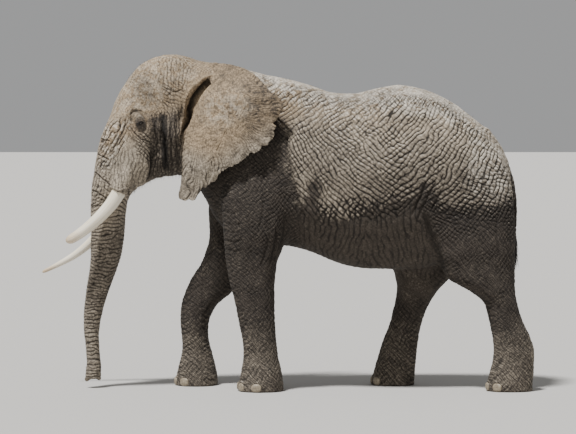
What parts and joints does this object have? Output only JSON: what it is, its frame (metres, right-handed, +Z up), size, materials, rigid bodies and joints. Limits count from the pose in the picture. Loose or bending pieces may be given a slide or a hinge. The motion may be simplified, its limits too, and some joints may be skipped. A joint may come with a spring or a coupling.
{
  "type": "african bush elephant bull",
  "caption": "Bull African bush elephant walking with head low, trunk hanging, ears laid back and tusks of unequal length.",
  "frame": {"origin": "middle of the underside of the bounding box, on the ground between the feet", "axes": "-X is the way the animal faces, -Y its left side, +Z up"},
  "size_m": [5.1228, 1.3234, 3.466],
  "materials": {
    "skin": "dry wrinkled hide, dusty on top",
    "ivory": "worn ivory",
    "nail": "horn",
    "eye": "wet brown eye",
    "hair": "wiry black hair"
  },
  "bodies": {
    "root": {"trunk_tip": "skin", "trunk_middle": "skin", "trunk_base": "skin", "jaw": "skin", "head": "skin", "forefoot_left": "skin", "forefoot_right": "skin", "foreleg_left": "skin", "foreleg_right": "skin", "hindfoot_left": "skin", "hindfoot_right": "skin", "hindleg_left": "skin", "hindleg_right": "skin", "neck": "skin", "chest": "skin", "belly": "skin", "hindquarters": "skin", "ear_left": "skin", "ear_right": "skin", "eye_left": "eye", "eye_right": "eye", "tusk_left": "ivory", "tusk_right": "ivory", "tail": "skin", "tail_tuft": "hair", "forenail_left_1": "nail", "forenail_left_2": "nail", "forenail_left_3": "nail", "forenail_left_4": "nail", "forenail_right_1": "nail", "forenail_right_2": "nail", "forenail_right_3": "nail", "forenail_right_4": "nail", "hindnail_left_1": "nail", "hindnail_left_2": "nail", "hindnail_left_3": "nail", "hindnail_right_1": "nail", "hindnail_right_2": "nail", "hindnail_right_3": "nail"}
  },
  "joints": []
}
